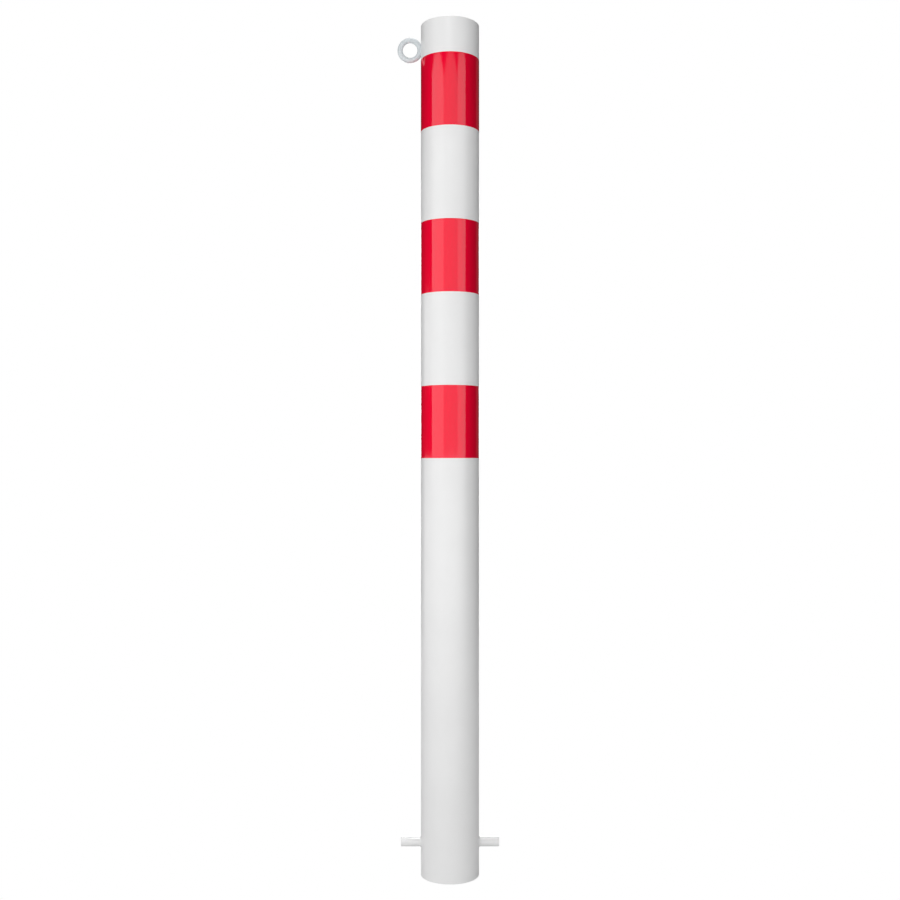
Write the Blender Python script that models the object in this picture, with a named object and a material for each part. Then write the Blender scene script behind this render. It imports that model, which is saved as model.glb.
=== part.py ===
"""Steel barrier post for setting in concrete.

A round tube, closed at the top by a welded plate, carries three bands of reflective
film and a chain ring, and an anchor bar crosses its foot to hold it in the concrete.

Frame: metres, +Z up along the tube's axis, origin on that axis in the plane of the foot.
The chain ring points to -X, and the anchor bar lies along X.
"""

import math

import bmesh
import bpy
from mathutils import Matrix

# Driving dimensions
POST_LENGTH = 1.300
TUBE_DIAMETER = 0.0889
TUBE_WALL = 0.0032
TOP_EDGE_RADIUS = 0.0012

PLATE_THICKNESS = 0.005
PLATE_GROOVE = 0.0025

RING_BAR_DIAMETER = 0.008
RING_MEAN_DIAMETER = 0.0305
RING_DROP = 0.037  # from the top of the post to the ring's centre
RING_SINK = 0.0025  # how deep the ring's root is let into the tube's wall

ANCHOR_DIAMETER = 0.014
ANCHOR_LENGTH = 0.150
ANCHOR_HEIGHT = 0.050
ANCHOR_CHAMFER = 0.0005

BAND_NAMES = ("upper", "middle", "lower")
BAND_HEIGHT = 0.1095
BAND_PITCH = 0.2495
BAND_DROP = 0.0535  # from the top of the post to the first band
FILM_THICKNESS = 0.0002
FILM_GAP = 0.0001

WELD_LEG = 0.0015
WELD_CROWN = 0.0002  # how far a fillet's face bulges past a straight line
RING_WELD_HALF_LENGTH = 0.0085
RING_WELD_TAPER = 0.9  # 1 would bring the bead's ends to a point
GAP = 0.0003  # clearance kept between solids that touch

# Values worked out from those
TUBE_RADIUS = TUBE_DIAMETER / 2
BORE_RADIUS = TUBE_RADIUS - TUBE_WALL
RING_BAR_RADIUS = RING_BAR_DIAMETER / 2
RING_MEAN_RADIUS = RING_MEAN_DIAMETER / 2
RING_X = -(TUBE_RADIUS - RING_SINK + RING_MEAN_RADIUS + RING_BAR_RADIUS)
RING_Z = POST_LENGTH - RING_DROP
ANCHOR_RADIUS = ANCHOR_DIAMETER / 2
HOLE_RADIUS = ANCHOR_RADIUS + GAP
PLATE_RADIUS = BORE_RADIUS - GAP
SEAT_RADIUS = TUBE_RADIUS + GAP  # where a piece on the tube's outside begins

# Facets
TUBE_SEGMENTS = 96
RING_SEGMENTS = 60
RING_BAR_SEGMENTS = 20
ANCHOR_SEGMENTS = 32
EDGE_STEPS = 3
FACE_STEPS = 4
RING_WELD_STEPS = 14
BISECTIONS = 40
MERGE_DISTANCE = 1e-7
SMOOTH_ANGLE = math.radians(40)

# Colour, roughness and metallic value of each finish
FINISHES = {
    "white_coat": ((0.80, 0.80, 0.80), 0.30, 0.0),
    "galvanised": ((0.60, 0.63, 0.65), 0.40, 0.3),
    "red_film": ((0.78, 0.004, 0.025), 0.15, 0.0),
}


def clear_scene():
    for old in list(bpy.data.objects):
        bpy.data.objects.remove(old, do_unlink=True)


def make_material(node, finish):
    colour, roughness, metallic = FINISHES[finish]
    material = bpy.data.materials.new(node)
    material.use_nodes = True
    shader = material.node_tree.nodes["Principled BSDF"]
    shader.inputs["Base Color"].default_value = (*colour, 1.0)
    shader.inputs["Roughness"].default_value = roughness
    shader.inputs["Metallic"].default_value = metallic
    return material


def add_object(name, bm, frame, location=(0, 0, 0), finish=None):
    """Turn a bmesh into a smooth-shaded object on the frame; a cutter has no finish."""
    bmesh.ops.recalc_face_normals(bm, faces=bm.faces)
    mesh = bpy.data.meshes.new(name)
    bm.to_mesh(mesh)
    bm.free()
    mesh.shade_smooth()
    mesh.set_sharp_from_angle(angle=SMOOTH_ANGLE)
    if finish:
        mesh.materials.append(make_material(name, finish))
    obj = bpy.data.objects.new(name, mesh)
    bpy.context.scene.collection.objects.link(obj)
    obj.parent = frame
    obj.location = location
    return obj


def turned(outline, segments, hollow=False):
    """Spin (radius, height) points about Z: a loop if hollow, else from axis to axis."""
    bm = bmesh.new()
    verts = [bm.verts.new((radius, 0.0, height)) for radius, height in outline]
    following = verts[1:] + verts[:1] if hollow else verts[1:]
    edges = [bm.edges.new(pair) for pair in zip(verts, following)]
    bmesh.ops.spin(
        bm,
        geom=verts + edges,
        axis=(0, 0, 1),
        cent=(0, 0, 0),
        angle=math.tau,
        steps=segments,
        use_merge=True,
    )
    bmesh.ops.remove_doubles(bm, verts=bm.verts, dist=MERGE_DISTANCE)
    return bm


def swept(sections, closed):
    """Skin a row of equal outlines; a row that isn't closed is capped at both ends."""
    bm = bmesh.new()
    rows = [[bm.verts.new(point) for point in section] for section in sections]
    pairs = list(zip(rows, rows[1:]))
    if closed:
        pairs.append((rows[-1], rows[0]))
    else:
        bm.faces.new(rows[0])
        bm.faces.new(list(reversed(rows[-1])))
    count = len(rows[0])
    for row, following in pairs:
        for i in range(count):
            j = (i + 1) % count
            bm.faces.new((row[i], row[j], following[j], following[i]))
    return bm


def quarter_turn(bm, axis):
    """Lay what was turned about Z along X (axis "Y") or along Y (axis "X")."""
    bmesh.ops.rotate(bm, verts=bm.verts, matrix=Matrix.Rotation(math.pi / 2, 3, axis))


def cylinder(radius, length, segments):
    half = length / 2
    return turned([(0, -half), (radius, -half), (radius, half), (0, half)], segments)


def cut(obj, cutter):
    cutter.hide_render = True
    cutter.display_type = "WIRE"
    boolean = obj.modifiers.new(cutter.name, "BOOLEAN")
    boolean.operation = "DIFFERENCE"
    boolean.object = cutter


def rounded_top_edge():
    """The quarter circle from the tube's outside to its top end."""
    points = []
    for step in range(EDGE_STEPS + 1):
        angle = math.pi / 2 * step / EDGE_STEPS
        inset = TOP_EDGE_RADIUS * (1 - math.cos(angle))
        drop = TOP_EDGE_RADIUS * (1 - math.sin(angle))
        points.append((TUBE_RADIUS - inset, POST_LENGTH - drop))
    return points


def build_post_tube(frame):
    outline = [(BORE_RADIUS, 0), (TUBE_RADIUS, 0)]
    outline += rounded_top_edge()
    outline += [(BORE_RADIUS, POST_LENGTH)]
    wall = turned(outline, TUBE_SEGMENTS, hollow=True)
    tube = add_object("post_tube", wall, frame, finish="white_coat")

    drill = cylinder(HOLE_RADIUS, 2 * TUBE_DIAMETER, ANCHOR_SEGMENTS)
    quarter_turn(drill, "Y")
    cut(tube, add_object("anchor_drill", drill, frame, (0, 0, ANCHOR_HEIGHT)))


def build_top_plate(frame):
    """The plate's top edge is chamfered, which leaves a groove for the weld."""
    outline = [
        (0, -PLATE_THICKNESS),
        (PLATE_RADIUS, -PLATE_THICKNESS),
        (PLATE_RADIUS, -PLATE_GROOVE),
        (PLATE_RADIUS - PLATE_GROOVE, 0),
        (0, 0),
    ]
    plate = turned(outline, TUBE_SEGMENTS)
    add_object("top_plate", plate, frame, (0, 0, POST_LENGTH), "white_coat")


def build_top_plate_weld(frame):
    """A ring of triangular section that fills the plate's groove, ground flush."""
    depth = PLATE_GROOVE - GAP * math.sqrt(2)
    outline = [(PLATE_RADIUS, -depth), (PLATE_RADIUS, 0), (PLATE_RADIUS - depth, 0)]
    bead = turned(outline, TUBE_SEGMENTS, hollow=True)
    add_object("top_plate_weld", bead, frame, (0, 0, POST_LENGTH), "white_coat")


def build_chain_ring(frame):
    """A torus about Y, with its root cut to the tube's outside."""
    outline = []
    for step in range(RING_BAR_SEGMENTS):
        angle = math.tau * step / RING_BAR_SEGMENTS
        radius = RING_MEAN_RADIUS + RING_BAR_RADIUS * math.cos(angle)
        outline.append((radius, RING_BAR_RADIUS * math.sin(angle)))
    torus = turned(outline, RING_SEGMENTS, hollow=True)
    quarter_turn(torus, "X")
    ring = add_object("chain_ring", torus, frame, (RING_X, 0, RING_Z), "galvanised")

    seat = cylinder(SEAT_RADIUS, 2 * RING_MEAN_DIAMETER, TUBE_SEGMENTS)
    cut(ring, add_object("ring_seat", seat, frame, (0, 0, RING_Z)))


def build_anchor_bar(frame):
    half = ANCHOR_LENGTH / 2
    outline = [
        (0, -half),
        (ANCHOR_RADIUS - ANCHOR_CHAMFER, -half),
        (ANCHOR_RADIUS, -half + ANCHOR_CHAMFER),
        (ANCHOR_RADIUS, half - ANCHOR_CHAMFER),
        (ANCHOR_RADIUS - ANCHOR_CHAMFER, half),
        (0, half),
    ]
    bar = turned(outline, ANCHOR_SEGMENTS)
    quarter_turn(bar, "Y")
    add_object("anchor_bar", bar, frame, (0, 0, ANCHOR_HEIGHT), "white_coat")


def crowned(start, end, crown):
    """Points of a fillet's face in 2D, from start to end, bulging by crown to its left."""
    du, dv = end[0] - start[0], end[1] - start[1]
    length = math.hypot(du, dv)
    points = []
    for step in range(FACE_STEPS + 1):
        share = step / FACE_STEPS
        bulge = crown * math.sin(math.pi * share) / length
        points.append((start[0] + du * share - dv * bulge, start[1] + dv * share + du * bulge))
    return points


def anchor_weld_section(side, angle):
    """The fillet's outline in the plane through the bar's axis at this angle."""
    toe = HOLE_RADIUS + WELD_LEG
    wall_at_bar = math.sqrt(SEAT_RADIUS**2 - (HOLE_RADIUS * math.cos(angle)) ** 2)
    wall_at_toe = math.sqrt(SEAT_RADIUS**2 - (toe * math.cos(angle)) ** 2)
    face = crowned((wall_at_toe, toe), (wall_at_bar + WELD_LEG, HOLE_RADIUS), WELD_CROWN)
    outline = [(wall_at_bar, HOLE_RADIUS)] + face
    return [(side * x, r * math.cos(angle), r * math.sin(angle)) for x, r in outline]


def build_anchor_weld(frame, name, side):
    angles = [math.tau * step / ANCHOR_SEGMENTS for step in range(ANCHOR_SEGMENTS)]
    bead = swept([anchor_weld_section(side, angle) for angle in angles], closed=True)
    add_object(name, bead, frame, (0, 0, ANCHOR_HEIGHT), "white_coat")


def beside_ring(rise, bar_angle):
    """A point (x, y) that clears the ring by the gap, rise above the ring's centre."""
    reach = RING_BAR_RADIUS + GAP
    spread = RING_MEAN_RADIUS + reach * math.cos(bar_angle)
    return RING_X + math.sqrt(spread**2 - rise**2), reach * math.sin(bar_angle)


def root_angle(rise):
    """Where that point also clears the tube's wall by the gap, found by bisection."""
    low, high = 0.0, math.pi / 2
    for _ in range(BISECTIONS):
        middle = (low + high) / 2
        if math.hypot(*beside_ring(rise, middle)) < SEAT_RADIUS:
            low = middle
        else:
            high = middle
    return high


def ring_weld_section(side, rise):
    """The fillet's outline in a level plane; it thins towards both ends of the bead."""
    taper = math.sqrt(1 - RING_WELD_TAPER * (rise / RING_WELD_HALF_LENGTH) ** 2)
    leg = WELD_LEG * taper
    root = root_angle(rise)
    turn = leg / (RING_BAR_RADIUS + GAP)
    corner = beside_ring(rise, root)
    along_ring = beside_ring(rise, root + turn / 2)
    ring_toe = beside_ring(rise, root + turn)
    toe_angle = math.asin(corner[1] / SEAT_RADIUS) + leg / SEAT_RADIUS
    wall_toe = (-SEAT_RADIUS * math.cos(toe_angle), SEAT_RADIUS * math.sin(toe_angle))
    face = crowned(ring_toe, wall_toe, -WELD_CROWN * taper)
    return [(x, side * y, rise) for x, y in [corner, along_ring] + face]


def build_ring_weld(frame, name, side):
    sections = []
    for step in range(RING_WELD_STEPS + 1):
        rise = RING_WELD_HALF_LENGTH * (2 * step / RING_WELD_STEPS - 1)
        sections.append(ring_weld_section(side, rise))
    bead = swept(sections, closed=False)
    add_object(name, bead, frame, (0, 0, RING_Z), "galvanised")


def build_band(frame, name, drop):
    """A sleeve of film whose upper edge is this far below the top of the post."""
    inner = TUBE_RADIUS + FILM_GAP
    outer = inner + FILM_THICKNESS
    outline = [(inner, -BAND_HEIGHT), (outer, -BAND_HEIGHT), (outer, 0), (inner, 0)]
    sleeve = turned(outline, TUBE_SEGMENTS, hollow=True)
    add_object(name, sleeve, frame, (0, 0, POST_LENGTH - drop), "red_film")


def build():
    clear_scene()
    frame = bpy.data.objects.new("barrier_post", None)
    bpy.context.scene.collection.objects.link(frame)
    build_post_tube(frame)
    build_top_plate(frame)
    build_top_plate_weld(frame)
    build_chain_ring(frame)
    build_ring_weld(frame, "ring_weld_front", -1)
    build_ring_weld(frame, "ring_weld_rear", 1)
    build_anchor_bar(frame)
    build_anchor_weld(frame, "anchor_weld_left", -1)
    build_anchor_weld(frame, "anchor_weld_right", 1)
    for order, place in enumerate(BAND_NAMES):
        build_band(frame, "reflective_band_" + place, BAND_DROP + order * BAND_PITCH)


build()
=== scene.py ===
"""Looks of the barrier post: powder-coated tube, welds, galvanised ring and reflective film.

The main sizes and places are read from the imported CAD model. The fine details, the camera and
the lights are set here. Lengths are in metres, +Z is up, the tube stands on the origin, and
the camera looks along +Y.
"""

import math

import bmesh
import bpy
from mathutils import Matrix, Vector


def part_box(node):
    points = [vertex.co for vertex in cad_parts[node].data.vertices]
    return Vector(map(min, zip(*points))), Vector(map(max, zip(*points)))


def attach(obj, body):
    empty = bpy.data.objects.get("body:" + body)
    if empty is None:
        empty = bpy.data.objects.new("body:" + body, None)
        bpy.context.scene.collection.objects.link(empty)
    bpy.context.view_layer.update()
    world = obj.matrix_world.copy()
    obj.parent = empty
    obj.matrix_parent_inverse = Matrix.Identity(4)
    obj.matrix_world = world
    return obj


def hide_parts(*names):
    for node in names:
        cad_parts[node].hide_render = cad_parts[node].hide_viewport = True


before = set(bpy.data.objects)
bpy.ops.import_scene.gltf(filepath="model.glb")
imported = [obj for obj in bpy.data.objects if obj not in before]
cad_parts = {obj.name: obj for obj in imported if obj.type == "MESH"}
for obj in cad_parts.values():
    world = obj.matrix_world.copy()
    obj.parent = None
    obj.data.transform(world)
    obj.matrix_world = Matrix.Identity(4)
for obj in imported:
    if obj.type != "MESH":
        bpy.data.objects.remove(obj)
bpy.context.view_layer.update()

MM = 0.001

# ---------------------------------------------------------------- sizes read from the frame

_, tube_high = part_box("post_tube")
plate_low, plate_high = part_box("top_plate")
ring_low, ring_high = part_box("chain_ring")
bar_low, bar_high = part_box("anchor_bar")
_, anchor_weld_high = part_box("anchor_weld_right")
ring_weld_low, ring_weld_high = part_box("ring_weld_front")

CAD_GAP = 0.3 * MM  # what the CAD solids keep between touching pieces
TUBE_RADIUS = tube_high.y
TUBE_TOP = tube_high.z
BORE_RADIUS = plate_high.y + CAD_GAP
PLATE_THICKNESS = plate_high.z - plate_low.z
RING_BAR_RADIUS = ring_high.y
RING_MEAN_RADIUS = (ring_high.z - ring_low.z) / 2 - RING_BAR_RADIUS
RING_CENTRE = Vector((ring_low.x + RING_MEAN_RADIUS + RING_BAR_RADIUS, 0, (ring_low.z + ring_high.z) / 2))
BAR_RADIUS = bar_high.y
BAR_HALF_LENGTH = bar_high.x
BAR_HEIGHT = (bar_low.z + bar_high.z) / 2
WELD_LEG = anchor_weld_high.y - BAR_RADIUS - CAD_GAP
RING_WELD_HALF_LENGTH = (ring_weld_high.z - ring_weld_low.z) / 2

# ---------------------------------------------------------------- details that only show here

TUBE_SEGMENTS = 288
TOP_EDGE_RADIUS = 1.2 * MM
FOOT_EDGE_RADIUS = 0.4 * MM
EDGE_STEPS = 5
SHARP_ANGLE = math.radians(35)  # edges that turn by more than this are shaded sharp
EDGE_MARGIN = 0.6 * MM  # a strip beside each rounded edge, so that long faces keep flat shading
SEAM_AZIMUTH = math.radians(118)  # the tube's own longitudinal weld, on its rear left
SEAM_HEIGHT = 0.7 * MM
SEAM_HALF_WIDTH = 1.6 * MM
BORE_TOLERANCE = 0.1 * MM  # faces this near the bore's radius belong to the bore

RING_SEGMENTS = 144
RING_BAR_SEGMENTS = 40
BAR_SEGMENTS = 96
BAR_EDGE_RADIUS = 0.7 * MM

WELD_SEGMENTS = 420
RING_WELD_STEPS = 140
WELD_FACE_STEPS = 8
WELD_BURIED = 0.2 * MM  # how deep a bead's root is set into what it joins
WELD_TOE_DEPTH = 0.03 * MM  # how far the toes of the anchor bar's beads are set in
WELD_CROWN = -0.1 * MM
RIPPLE_PITCH = 1.25 * MM
RIPPLE_HEIGHT = 0.10 * MM

PLATE_WELD_WIDTH = 2.6 * MM
PLATE_WELD_CROWN = 0.10 * MM
PLATE_WELD_UNEVENNESS = 0.12 * MM
PLATE_WELD_OVERLAP = 0.1 * MM  # how far the bead reaches into the tube's wall
PLATE_EASE_OUT = 0.1 * MM  # the bevel's upper edge is eased from this far outside it
PLATE_EASE_IN = 0.4 * MM  # to this far inside it
PLATE_EASE_DROP = 0.05 * MM  # and starts this far below the plate's face
PLATE_RING_SHARES = (0.66, 0.33)  # rings of the plate's face, as shares of its rim's radius

FILM_RED_LOW = (0.86, 0.0010, 0.030, 1)
FILM_RED_HIGH = (0.90, 0.0016, 0.036, 1)
FILM_THICKNESS = 0.2 * MM
FILM_CLEARANCE = 0.05 * MM
FILM_LAP = 12 * MM
FILM_LAP_CLEARANCE = 0.03 * MM
FILM_RAMP = 2.5 * MM  # the length over which the film climbs onto its own start
FILM_SEGMENTS = 360
LAP_AZIMUTHS = {
    "reflective_band_upper": math.radians(158),
    "reflective_band_middle": math.radians(155),
    "reflective_band_lower": math.radians(160),
}


# ---------------------------------------------------------------- node and mesh helpers


class Shading:
    """A material's node tree, with short ways to add a node and to feed a socket."""

    def __init__(self, name):
        self.material = bpy.data.materials.new(name)
        self.material.use_nodes = True
        self.tree = self.material.node_tree
        self.shader = self.tree.nodes["Principled BSDF"]
        self.object_space = self.add("ShaderNodeTexCoord").outputs["Object"]

    def add(self, kind, settings=None, **inputs):
        """Add a node. An input is a plain value or another node's output."""
        node = self.tree.nodes.new(kind)
        for key, value in (settings or {}).items():
            setattr(node, key, value)
        for key, value in inputs.items():
            self.feed(node.inputs[key.replace("_", " ")], value)
        return node

    def feed(self, socket, value):
        if isinstance(value, bpy.types.NodeSocket):
            self.tree.links.new(value, socket)
        else:
            socket.default_value = value

    def surface(self, **inputs):
        for key, value in inputs.items():
            self.feed(self.shader.inputs[key.replace("_", " ")], value)

    def noise(self, scale, detail=2.0, roughness=0.5):
        node = self.add(
            "ShaderNodeTexNoise", Vector=self.object_space, Scale=scale, Detail=detail, Roughness=roughness
        )
        return node.outputs["Fac"]

    def spread(self, value, low, high, start=0.3, end=0.7):
        """Map the middle of a noise's range onto low..high."""
        node = self.add(
            "ShaderNodeMapRange",
            Value=value,
            **{"From_Min": start, "From_Max": end, "To_Min": low, "To_Max": high},
        )
        return node.outputs["Result"]

    def blend(self, factor, first, second):
        """A colour between first and second."""
        node = self.add("ShaderNodeMix", {"data_type": "RGBA"})
        self.feed(node.inputs["Factor"], factor)
        self.feed(node.inputs[6], first)
        self.feed(node.inputs[7], second)
        return node.outputs[2]

    def bump(self, height, distance, strength=1.0, below=None):
        node = self.add("ShaderNodeBump", Height=height, Distance=distance, Strength=strength)
        if below is not None:
            self.feed(node.inputs["Normal"], below)
        return node.outputs["Normal"]


def grey(level):
    return (level, level, level, 1.0)


def grid_surface(name, rows, rows_close, ends_capped=False):
    """A surface through rows of points, each row a closed outline; rows_close joins last to first."""
    bm = bmesh.new()
    made = [[bm.verts.new(point) for point in row] for row in rows]
    pairs = list(zip(made, made[1:]))
    if rows_close:
        pairs.append((made[-1], made[0]))
    count = len(made[0])
    for row, following in pairs:
        for i in range(count):
            j = (i + 1) % count
            bm.faces.new((row[i], row[j], following[j], following[i]))
    if ends_capped:
        bm.faces.new(made[0])
        bm.faces.new(list(reversed(made[-1])))
    bmesh.ops.recalc_face_normals(bm, faces=bm.faces)
    mesh = bpy.data.meshes.new(name)
    bm.to_mesh(mesh)
    bm.free()
    mesh.shade_smooth()
    return mesh


def add_piece(name, mesh, slot, *materials, node=None):
    """Put a mesh into the scene in place of a CAD node."""
    for material in materials:
        mesh.materials.append(material)
    mesh.set_sharp_from_angle(angle=SHARP_ANGLE)
    piece = bpy.data.objects.new(name, mesh)
    bpy.context.scene.collection.objects.link(piece)
    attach(piece, "root")
    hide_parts(node)
    return piece


def arc(centre, radius, start, end, steps):
    """Points of an arc in 2D; angles in radians from the first axis."""
    angles = [start + (end - start) * step / steps for step in range(steps + 1)]
    return [(centre[0] + radius * math.cos(a), centre[1] + radius * math.sin(a)) for a in angles]


def around_z(outline, azimuth):
    """Turn an outline of (radius, height) to this azimuth; 0 is +X."""
    return [(r * math.cos(azimuth), r * math.sin(azimuth), z) for r, z in outline]


def full_turn(count):
    return [math.tau * step / count for step in range(count)]


def cut_away(mesh, cutter_mesh):
    """The mesh less the cutter, as a new mesh."""
    body = bpy.data.objects.new(mesh.name, mesh)
    cutter = bpy.data.objects.new("cutter", cutter_mesh)
    for obj in (body, cutter):
        bpy.context.scene.collection.objects.link(obj)
    boolean = body.modifiers.new("cut", "BOOLEAN")
    boolean.operation = "DIFFERENCE"
    boolean.object = cutter
    graph = bpy.context.evaluated_depsgraph_get()
    result = bpy.data.meshes.new_from_object(body.evaluated_get(graph))
    for obj in (body, cutter):
        bpy.data.objects.remove(obj, do_unlink=True)
    return result


def cylinder_mesh(name, radius, half_length, segments, matrix):
    bm = bmesh.new()
    bmesh.ops.create_cone(
        bm,
        cap_ends=True,
        segments=segments,
        radius1=radius,
        radius2=radius,
        depth=2 * half_length,
        matrix=matrix,
    )
    mesh = bpy.data.meshes.new(name)
    bm.to_mesh(mesh)
    bm.free()
    return mesh


# ---------------------------------------------------------------- materials


def powder_coat(name, roughest, peel_height):
    """Smooth white powder coat: a faint orange peel and hardly any change of tone."""
    s = Shading(name)
    tone = s.blend(s.spread(s.noise(11, 3), 0, 1), grey(0.79), grey(0.82))
    peel = s.bump(s.noise(420, 1), peel_height)
    s.surface(
        Base_Color=tone,
        Roughness=s.spread(s.noise(70, 2), 0.88 * roughest, roughest),
        IOR=1.5,
        Normal=peel,
    )
    return s.material


def weld_coat(name):
    """The same coat over a weld: it rounds the ripples off and lies a little thicker."""
    s = Shading(name)
    tone = s.blend(s.spread(s.noise(160, 3), 0, 1), grey(0.75), grey(0.82))
    lumps = s.bump(s.noise(900, 3), 0.05 * MM, strength=0.6)
    s.surface(Base_Color=tone, Roughness=s.spread(s.noise(300, 2), 0.20, 0.32), IOR=1.5, Normal=lumps)
    return s.material


def zinc(name):
    """Hot-dip galvanised steel, weathered matt: pale and bluish, with a soft frosty pattern."""
    s = Shading(name)
    pattern = s.noise(300, 3)
    s.surface(
        Base_Color=s.blend(s.spread(pattern, 0, 1), (0.61, 0.65, 0.67, 1), (0.63, 0.67, 0.69, 1)),
        Metallic=0.1,
        Roughness=s.spread(pattern, 0.53, 0.57),
        Normal=s.bump(s.noise(700, 3), 0.002 * MM, strength=0.5),
    )
    return s.material


def bore_zinc(name):
    """The tube's inside: galvanised, with white overspray that thins out above the foot."""
    s = Shading(name)
    frost = s.add("ShaderNodeTexVoronoi", Vector=s.object_space, Scale=95.0, Randomness=1.0)
    spangle = s.spread(frost.outputs["Distance"], 0.0, 1.0, 0.1, 0.6)
    metal = s.blend(spangle, (0.36, 0.38, 0.40, 1), (0.52, 0.54, 0.56, 1))
    height = s.add("ShaderNodeSeparateXYZ", Vector=s.object_space).outputs["Z"]
    cloud = s.spread(s.noise(38, 4), -0.03, 0.03)
    ragged = s.add("ShaderNodeMath", {"operation": "ADD"})
    s.feed(ragged.inputs[0], height)
    s.feed(ragged.inputs[1], cloud)
    bare = s.spread(ragged.outputs[0], 0.0, 1.0, 0.03, 0.12)
    s.surface(
        Base_Color=s.blend(bare, grey(0.74), metal),
        Metallic=s.spread(bare, 0.0, 0.6, 0.0, 1.0),
        Roughness=s.spread(spangle, 0.34, 0.5, 0.0, 1.0),
        Normal=s.bump(s.noise(600, 3), 0.04 * MM, strength=0.5),
    )
    return s.material


def reflective_film(name):
    """Red film: bright backing seen through a coloured layer, under a clear glossy face."""
    s = Shading(name)
    beads = s.noise(3800, 1)
    s.surface(
        Base_Color=s.blend(s.spread(beads, 0, 1), FILM_RED_LOW, FILM_RED_HIGH),
        Metallic=0.5,
        Roughness=0.6,
        Specular_IOR_Level=0.0,
        Coat_Weight=1.0,
        Coat_Roughness=0.06,
        Coat_IOR=1.5,
    )
    return s.material


coat = powder_coat("white_powder_coat", 0.32, 0.004 * MM)
bar_coat = powder_coat("white_bar_coat", 0.14, 0.001 * MM)
coated_weld = weld_coat("coated_weld")
ring_zinc = zinc("galvanised_ring")
tube_inside = bore_zinc("galvanised_bore")
film = reflective_film("red_reflective_film")


# ---------------------------------------------------------------- tube and top


def seam_ridge(azimuth):
    """How far the tube's inner weld bead stands into the bore at this azimuth."""
    offset = (azimuth - SEAM_AZIMUTH + math.pi) % math.tau - math.pi
    return SEAM_HEIGHT * math.exp(-((offset * BORE_RADIUS / SEAM_HALF_WIDTH) ** 2))


def tube_outline(azimuth):
    """The wall's outline at this azimuth, from the bore's foot round the outside to its top."""
    bore = BORE_RADIUS - seam_ridge(azimuth)
    foot, top = FOOT_EDGE_RADIUS, TOP_EDGE_RADIUS
    outline = [(bore, foot + EDGE_MARGIN)]
    outline += arc((bore + foot, foot), foot, math.pi, 1.5 * math.pi, EDGE_STEPS)
    outline += arc((TUBE_RADIUS - foot, foot), foot, 1.5 * math.pi, math.tau, EDGE_STEPS)
    outline += [(TUBE_RADIUS, foot + EDGE_MARGIN), (TUBE_RADIUS, TUBE_TOP - top - EDGE_MARGIN)]
    outline += arc((TUBE_RADIUS - top, TUBE_TOP - top), top, 0, math.pi / 2, EDGE_STEPS)
    outline += [(bore, TUBE_TOP)]
    return outline


def make_tube():
    rows = [around_z(tube_outline(a), a) for a in full_turn(TUBE_SEGMENTS)]
    wall = grid_surface("post_tube_wall", rows, rows_close=True)
    lying = Matrix.Translation((0, 0, BAR_HEIGHT)) @ Matrix.Rotation(math.pi / 2, 4, "Y")
    drill = cylinder_mesh("drill", BAR_RADIUS + CAD_GAP, 2 * TUBE_RADIUS, BAR_SEGMENTS, lying)
    wall = cut_away(wall, drill)
    inner_limit = BORE_RADIUS + BORE_TOLERANCE
    for face in wall.polygons:
        level = abs(face.normal.z) < 0.5
        inside = all(math.hypot(*wall.vertices[v].co.xy) < inner_limit for v in face.vertices)
        face.material_index = 1 if level and inside else 0
    return add_piece("tube", wall, "white_coat", coat, tube_inside, node="post_tube")


def make_top_plate():
    """A disc whose bevelled rim leaves room for the weld."""
    rim = BORE_RADIUS - PLATE_WELD_WIDTH
    under = TUBE_TOP - PLATE_THICKNESS
    rings = [(BORE_RADIUS, under), (BORE_RADIUS, TUBE_TOP - PLATE_WELD_WIDTH)]
    rings += [(rim + PLATE_EASE_OUT, TUBE_TOP - PLATE_EASE_DROP), (rim - PLATE_EASE_IN, TUBE_TOP)]
    rings += [(rim * share, TUBE_TOP) for share in PLATE_RING_SHARES]
    rows = [[(r * math.cos(a), r * math.sin(a), z) for a in full_turn(TUBE_SEGMENTS)] for r, z in rings]
    disc = grid_surface("top_plate_disc", rows, rows_close=False, ends_capped=True)
    return add_piece("plate", disc, "white_coat", coat, node="top_plate")


def make_top_weld():
    """The bead round the plate, ground nearly flush, with a slightly uneven width."""
    outer = BORE_RADIUS + PLATE_WELD_OVERLAP
    rows = []
    for a in full_turn(TUBE_SEGMENTS):
        uneven = math.sin(5 * a + 0.7) + 0.6 * math.sin(11 * a + 2.1) + 0.4 * math.sin(23 * a)
        width = PLATE_WELD_WIDTH + PLATE_WELD_UNEVENNESS * uneven
        crown = PLATE_WELD_CROWN * (1 + 0.25 * uneven)
        outline = [(outer, TUBE_TOP - PLATE_WELD_WIDTH)]
        for step in range(WELD_FACE_STEPS + 1):
            share = step / WELD_FACE_STEPS
            outline.append((outer - width * share, TUBE_TOP + crown * math.sin(math.pi * share)))
        rows.append(around_z(outline, a))
    bead = grid_surface("top_weld_bead", rows, rows_close=True)
    return add_piece("plate_weld", bead, "white_coat", coated_weld, node="top_plate_weld")


# ---------------------------------------------------------------- ring, bar and their welds


def make_ring():
    """The bent bar, closed, with its root let into the tube."""
    rows = []
    for turn in full_turn(RING_SEGMENTS):
        row = []
        for around in full_turn(RING_BAR_SEGMENTS):
            reach = RING_MEAN_RADIUS + RING_BAR_RADIUS * math.cos(around)
            sideways = RING_BAR_RADIUS * math.sin(around)
            row.append(RING_CENTRE + Vector((reach * math.cos(turn), sideways, reach * math.sin(turn))))
        rows.append(row)
    torus = grid_surface("ring_torus", rows, rows_close=True)
    upright = Matrix.Translation((0, 0, RING_CENTRE.z))
    seat = cylinder_mesh("seat", TUBE_RADIUS, 3 * RING_MEAN_RADIUS, TUBE_SEGMENTS, upright)
    return add_piece("eye_ring", cut_away(torus, seat), "galvanised", ring_zinc, node="chain_ring")


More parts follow.
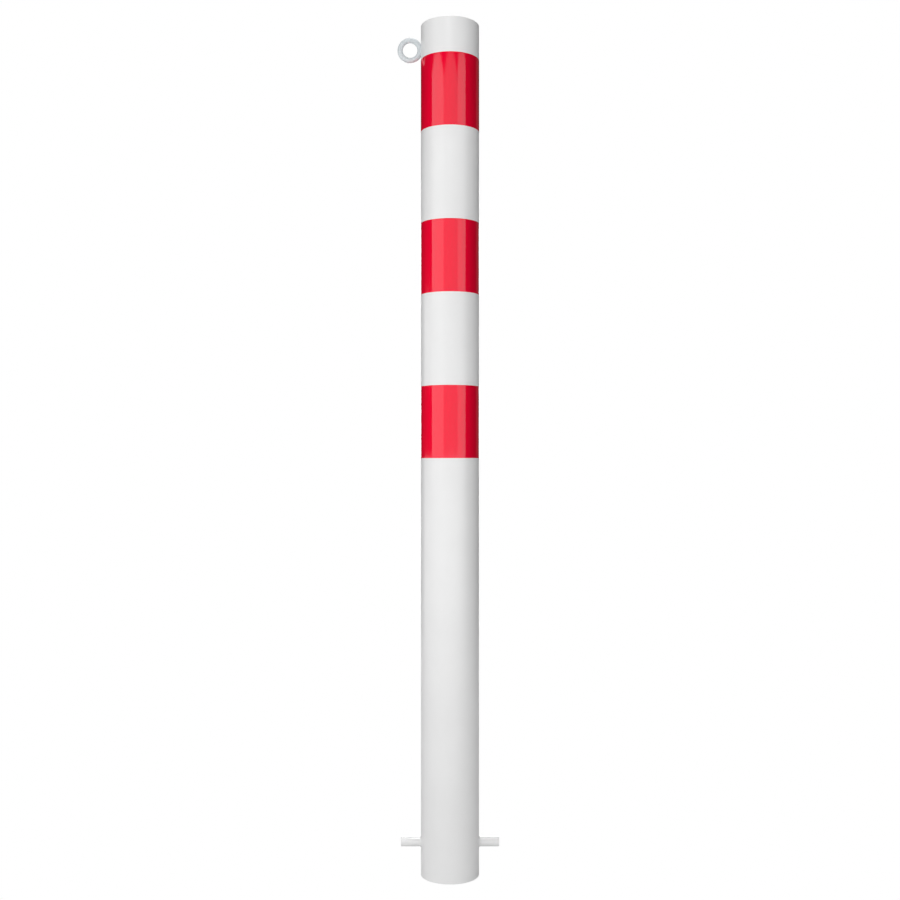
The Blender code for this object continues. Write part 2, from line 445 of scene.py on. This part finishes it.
def make_bar():
    """The anchor bar, sawn off with lightly broken edges."""
    edge = BAR_EDGE_RADIUS
    side = arc((BAR_HALF_LENGTH - edge, BAR_RADIUS - edge), edge, 0, math.pi / 2, EDGE_STEPS)
    half = [(BAR_HALF_LENGTH, BAR_RADIUS - edge - EDGE_MARGIN)] + side
    half += [(BAR_HALF_LENGTH - edge - EDGE_MARGIN, BAR_RADIUS)]
    profile = half + [(-x, r) for x, r in reversed(half)]
    rows = []
    for x, r in profile:
        rows.append([(x, r * math.cos(a), BAR_HEIGHT + r * math.sin(a)) for a in full_turn(BAR_SEGMENTS)])
    bar = grid_surface("bar_body", rows, rows_close=False, ends_capped=True)
    return add_piece("ground_bar", bar, "white_coat", bar_coat, node="anchor_bar")


def ripple(distance):
    """The height of a bead's ripple: each drop freezes on the last with a steep front."""
    share = (distance / RIPPLE_PITCH) % 1.0
    return RIPPLE_HEIGHT * math.sin(math.pi * share**1.6)


def bead_face(start, end, crown):
    """A fillet's face in 2D, from start to end, crowned towards its left."""
    along = Vector(end) - Vector(start)
    left = Vector((-along.y, along.x)).normalized()
    points = []
    for step in range(WELD_FACE_STEPS + 1):
        share = step / WELD_FACE_STEPS
        points.append(Vector(start) + along * share + left * crown * math.sin(math.pi * share))
    return points


def anchor_weld_row(side, angle):
    """The fillet where the bar leaves the tube, in the plane through the bar at this angle."""
    uneven = 1 + 0.07 * math.sin(3 * angle + side) + 0.04 * math.sin(7 * angle)
    leg = WELD_LEG * uneven
    toe = BAR_RADIUS + leg
    bar_x = math.sqrt(TUBE_RADIUS**2 - (BAR_RADIUS * math.cos(angle)) ** 2)
    toe_x = math.sqrt(TUBE_RADIUS**2 - (toe * math.cos(angle)) ** 2)
    crown = WELD_CROWN + ripple(angle * (BAR_RADIUS + leg / 2))
    outline = [(bar_x - WELD_BURIED, BAR_RADIUS - WELD_BURIED)]
    wall_toe = (toe_x - WELD_TOE_DEPTH, toe)
    bar_toe = (bar_x + leg, BAR_RADIUS - WELD_TOE_DEPTH)
    outline += bead_face(wall_toe, bar_toe, crown)
    return [(side * x, r * math.cos(angle), BAR_HEIGHT + r * math.sin(angle)) for x, r in outline]


def make_anchor_weld(name, node, side):
    rows = [anchor_weld_row(side, angle) for angle in full_turn(WELD_SEGMENTS)]
    bead = grid_surface(name, rows, rows_close=True)
    return add_piece(name, bead, "white_coat", coated_weld, node=node)


def ring_point(rise, around):
    """A point (x, y) on the ring's surface in the level plane rise above its centre."""
    spread = RING_MEAN_RADIUS + RING_BAR_RADIUS * math.cos(around)
    return RING_CENTRE.x + math.sqrt(spread**2 - rise**2), RING_BAR_RADIUS * math.sin(around)


def ring_root(rise):
    """Where the ring's surface meets the tube's at this height, by bisection."""
    low, high = 0.0, math.pi / 2
    for _ in range(40):
        middle = (low + high) / 2
        if math.hypot(*ring_point(rise, middle)) < TUBE_RADIUS:
            low = middle
        else:
            high = middle
    return high


def ring_weld_row(side, rise):
    """The fillet beside the ring's root, thinning towards both ends of the bead."""
    taper = math.sqrt(1 - 0.93 * (rise / RING_WELD_HALF_LENGTH) ** 2)
    leg = WELD_LEG * taper
    root = ring_root(rise)
    turn = leg / RING_BAR_RADIUS
    corner = Vector(ring_point(rise, root))
    toe_angle = math.asin(corner.y / TUBE_RADIUS) + leg / TUBE_RADIUS
    wall_toe = TUBE_RADIUS * Vector((-math.cos(toe_angle), math.sin(toe_angle)))
    crown = WELD_CROWN * taper + ripple(rise + RING_WELD_HALF_LENGTH) * taper
    face = bead_face(wall_toe, ring_point(rise, root + turn), crown)
    inside = corner + Vector((WELD_BURIED, -WELD_BURIED))
    outline = [Vector(ring_point(rise, root + turn / 2)), inside] + face
    return [(p[0], side * p[1], RING_CENTRE.z + rise) for p in outline]


def make_ring_weld(name, node, side):
    steps = range(RING_WELD_STEPS + 1)
    rises = [RING_WELD_HALF_LENGTH * (2 * step / RING_WELD_STEPS - 1) for step in steps]
    bead = grid_surface(name, [ring_weld_row(side, r) for r in rises], rows_close=False, ends_capped=True)
    return add_piece(name, bead, "galvanised", ring_zinc, node=node)


# ---------------------------------------------------------------- reflective film


def film_lift(travel, turn_length):
    """How far the film's inner face stands off the tube after this much wrapping."""
    climb_start = turn_length - FILM_RAMP
    share = min(max((travel - climb_start) / FILM_RAMP, 0.0), 1.0)
    smooth = share * share * (3 - 2 * share)
    return FILM_CLEARANCE + (FILM_THICKNESS + FILM_LAP_CLEARANCE) * smooth


def make_band(node):
    """A strip of film wrapped once round the tube, its end lapped over its beginning."""
    low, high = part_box(node)
    turn_length = math.tau * TUBE_RADIUS
    total = turn_length + FILM_LAP
    edge = FILM_THICKNESS / 2
    rows = []
    for step in range(FILM_SEGMENTS + 1):
        travel = total * step / FILM_SEGMENTS
        azimuth = LAP_AZIMUTHS[node] + travel / TUBE_RADIUS
        inner = TUBE_RADIUS + film_lift(travel, turn_length)
        outer, middle = inner + FILM_THICKNESS, inner + edge
        outline = [(inner, low.z + edge + EDGE_MARGIN)]
        outline += arc((middle, low.z + edge), edge, -math.pi, 0, EDGE_STEPS)
        outline += [(outer, low.z + edge + EDGE_MARGIN), (outer, high.z - edge - EDGE_MARGIN)]
        outline += arc((middle, high.z - edge), edge, 0, math.pi, EDGE_STEPS)
        outline += [(inner, high.z - edge - EDGE_MARGIN)]
        rows.append(around_z(outline, azimuth))
    strip = grid_surface(node + "_strip", rows, rows_close=False, ends_capped=True)
    name = node.replace("reflective_band", "film")
    return add_piece(name, strip, "red_film", film, node=node)


# ---------------------------------------------------------------- studio

CAMERA_DISTANCE = 1.793
CAMERA_HEIGHT = 0.6332
CAMERA_LENS = 46.76  # millimetres
CAMERA_SENSOR_WIDTH = 36  # millimetres
CAMERA_SHIFT = 0.0125

LIGHT_DISTANCE = 2.6

# Plain upright softboxes round the post: name, start, end, lower edge, upper edge, radiance.
# Start and end are azimuths in degrees, 0 at the camera and positive to the right.
SOFTBOXES = (
    ("left_softbox", -75, -25, 0.65, 2.15, 2.0),
    ("front_softbox", -25, 30, 0.65, 2.15, 1.1),
    ("right_softbox", 30, 63, 0.65, 2.15, 1.8),
    ("low_left_softbox", -75, -10, 0.0, 0.65, 2.0),
    ("low_right_softbox", -10, 60, 0.0, 0.65, 2.4),
    ("low_side_softbox", -120, -75, 0.0, 0.65, 1.5),
    ("side_softbox", -120, -75, 0.95, 1.25, 3.0),
    ("high_left_softbox", -12, -1, 2.55, 2.85, 20.0),
    ("rim_softbox", 125, 150, 0.65, 2.2, 0.1),
    ("rear_softbox", 169, 191, 0.0, 1.7, 8.0),
)
OVERHEAD_HEIGHT = 3.2
OVERHEAD_SIZE = 0.5
OVERHEAD_RADIANCE = 30
FLOOR_HALF_SIZE = 40
FLOOR_DROP = 0.2 * MM  # the floor lies this far below the tube's foot
FLOOR_ALBEDO = 0.7
AMBIENT = 0.01


def add_area_light(name, width, height, radiance):
    """An area light of this size that sends out this radiance, and that the camera can't see."""
    data = bpy.data.lights.new(name, "AREA")
    data.shape = "RECTANGLE"
    data.size = width
    data.size_y = height
    data.energy = radiance * math.pi * width * height
    light = bpy.data.objects.new(name, data)
    light.visible_camera = False
    bpy.context.scene.collection.objects.link(light)
    return light


def add_softbox(name, start, end, bottom, top, radiance):
    """An upright panel that fills the azimuths from start to end as the post sees them."""
    middle = math.radians((start + end) / 2)
    half = math.radians((end - start) / 2)
    width = 2 * LIGHT_DISTANCE * math.tan(half)
    light = add_area_light(name, width, top - bottom, radiance)
    across, away = math.sin(middle), -math.cos(middle)
    light.location = (LIGHT_DISTANCE * across, LIGHT_DISTANCE * away, (top + bottom) / 2)
    light.rotation_euler = (math.pi / 2, 0, middle)


def add_overhead_lamp():
    lamp = add_area_light("overhead_lamp", OVERHEAD_SIZE, OVERHEAD_SIZE, OVERHEAD_RADIANCE)
    lamp.location.z = OVERHEAD_HEIGHT


def plain_white(tree, output, dim):
    """White as the camera sees it, and the dim shader for all that the light does besides."""
    seen = tree.nodes.new("ShaderNodeLightPath").outputs["Is Camera Ray"]
    mix = tree.nodes.new("ShaderNodeMixShader")
    white = tree.nodes.new("ShaderNodeEmission")
    tree.links.new(seen, mix.inputs["Fac"])
    tree.links.new(dim, mix.inputs[1])
    tree.links.new(white.outputs[0], mix.inputs[2])
    tree.links.new(mix.outputs[0], output.inputs["Surface"])


def make_floor():
    """A pale floor, evenly white to the camera."""
    bm = bmesh.new()
    bmesh.ops.create_grid(bm, x_segments=1, y_segments=1, size=FLOOR_HALF_SIZE)
    mesh = bpy.data.meshes.new("studio_floor")
    bm.to_mesh(mesh)
    bm.free()
    material = bpy.data.materials.new("studio_floor")
    material.use_nodes = True
    tree = material.node_tree
    tree.nodes.remove(tree.nodes["Principled BSDF"])
    matt = tree.nodes.new("ShaderNodeBsdfDiffuse")
    matt.inputs["Color"].default_value = grey(FLOOR_ALBEDO)
    plain_white(tree, tree.nodes["Material Output"], matt.outputs[0])
    mesh.materials.append(material)
    floor = bpy.data.objects.new("studio_floor", mesh)
    floor.location.z = -FLOOR_DROP
    bpy.context.scene.collection.objects.link(floor)


def make_world():
    world = bpy.data.worlds.new("studio")
    world.use_nodes = True
    tree = world.node_tree
    background = tree.nodes["Background"]
    background.inputs["Color"].default_value = grey(AMBIENT)
    plain_white(tree, tree.nodes["World Output"], background.outputs[0])
    bpy.context.scene.world = world


def make_camera():
    data = bpy.data.cameras.new("camera")
    data.sensor_width = CAMERA_SENSOR_WIDTH
    data.lens = CAMERA_LENS
    data.shift_y = CAMERA_SHIFT
    camera = bpy.data.objects.new("camera", data)
    camera.location = (0, -CAMERA_DISTANCE, CAMERA_HEIGHT)
    camera.rotation_euler = (math.pi / 2, 0, 0)
    bpy.context.scene.collection.objects.link(camera)
    bpy.context.scene.camera = camera


def make_object():
    make_tube()
    make_top_plate()
    make_top_weld()
    make_ring()
    make_ring_weld("ring_bead_front", "ring_weld_front", -1)
    make_ring_weld("ring_bead_rear", "ring_weld_rear", 1)
    make_bar()
    make_anchor_weld("bar_bead_left", "anchor_weld_left", -1)
    make_anchor_weld("bar_bead_right", "anchor_weld_right", 1)
    for node in LAP_AZIMUTHS:
        make_band(node)


def make_studio():
    for box in SOFTBOXES:
        add_softbox(*box)
    add_overhead_lamp()
    make_floor()
    make_world()
    make_camera()
    bpy.context.scene.view_settings.view_transform = "Standard"


make_object()
make_studio()
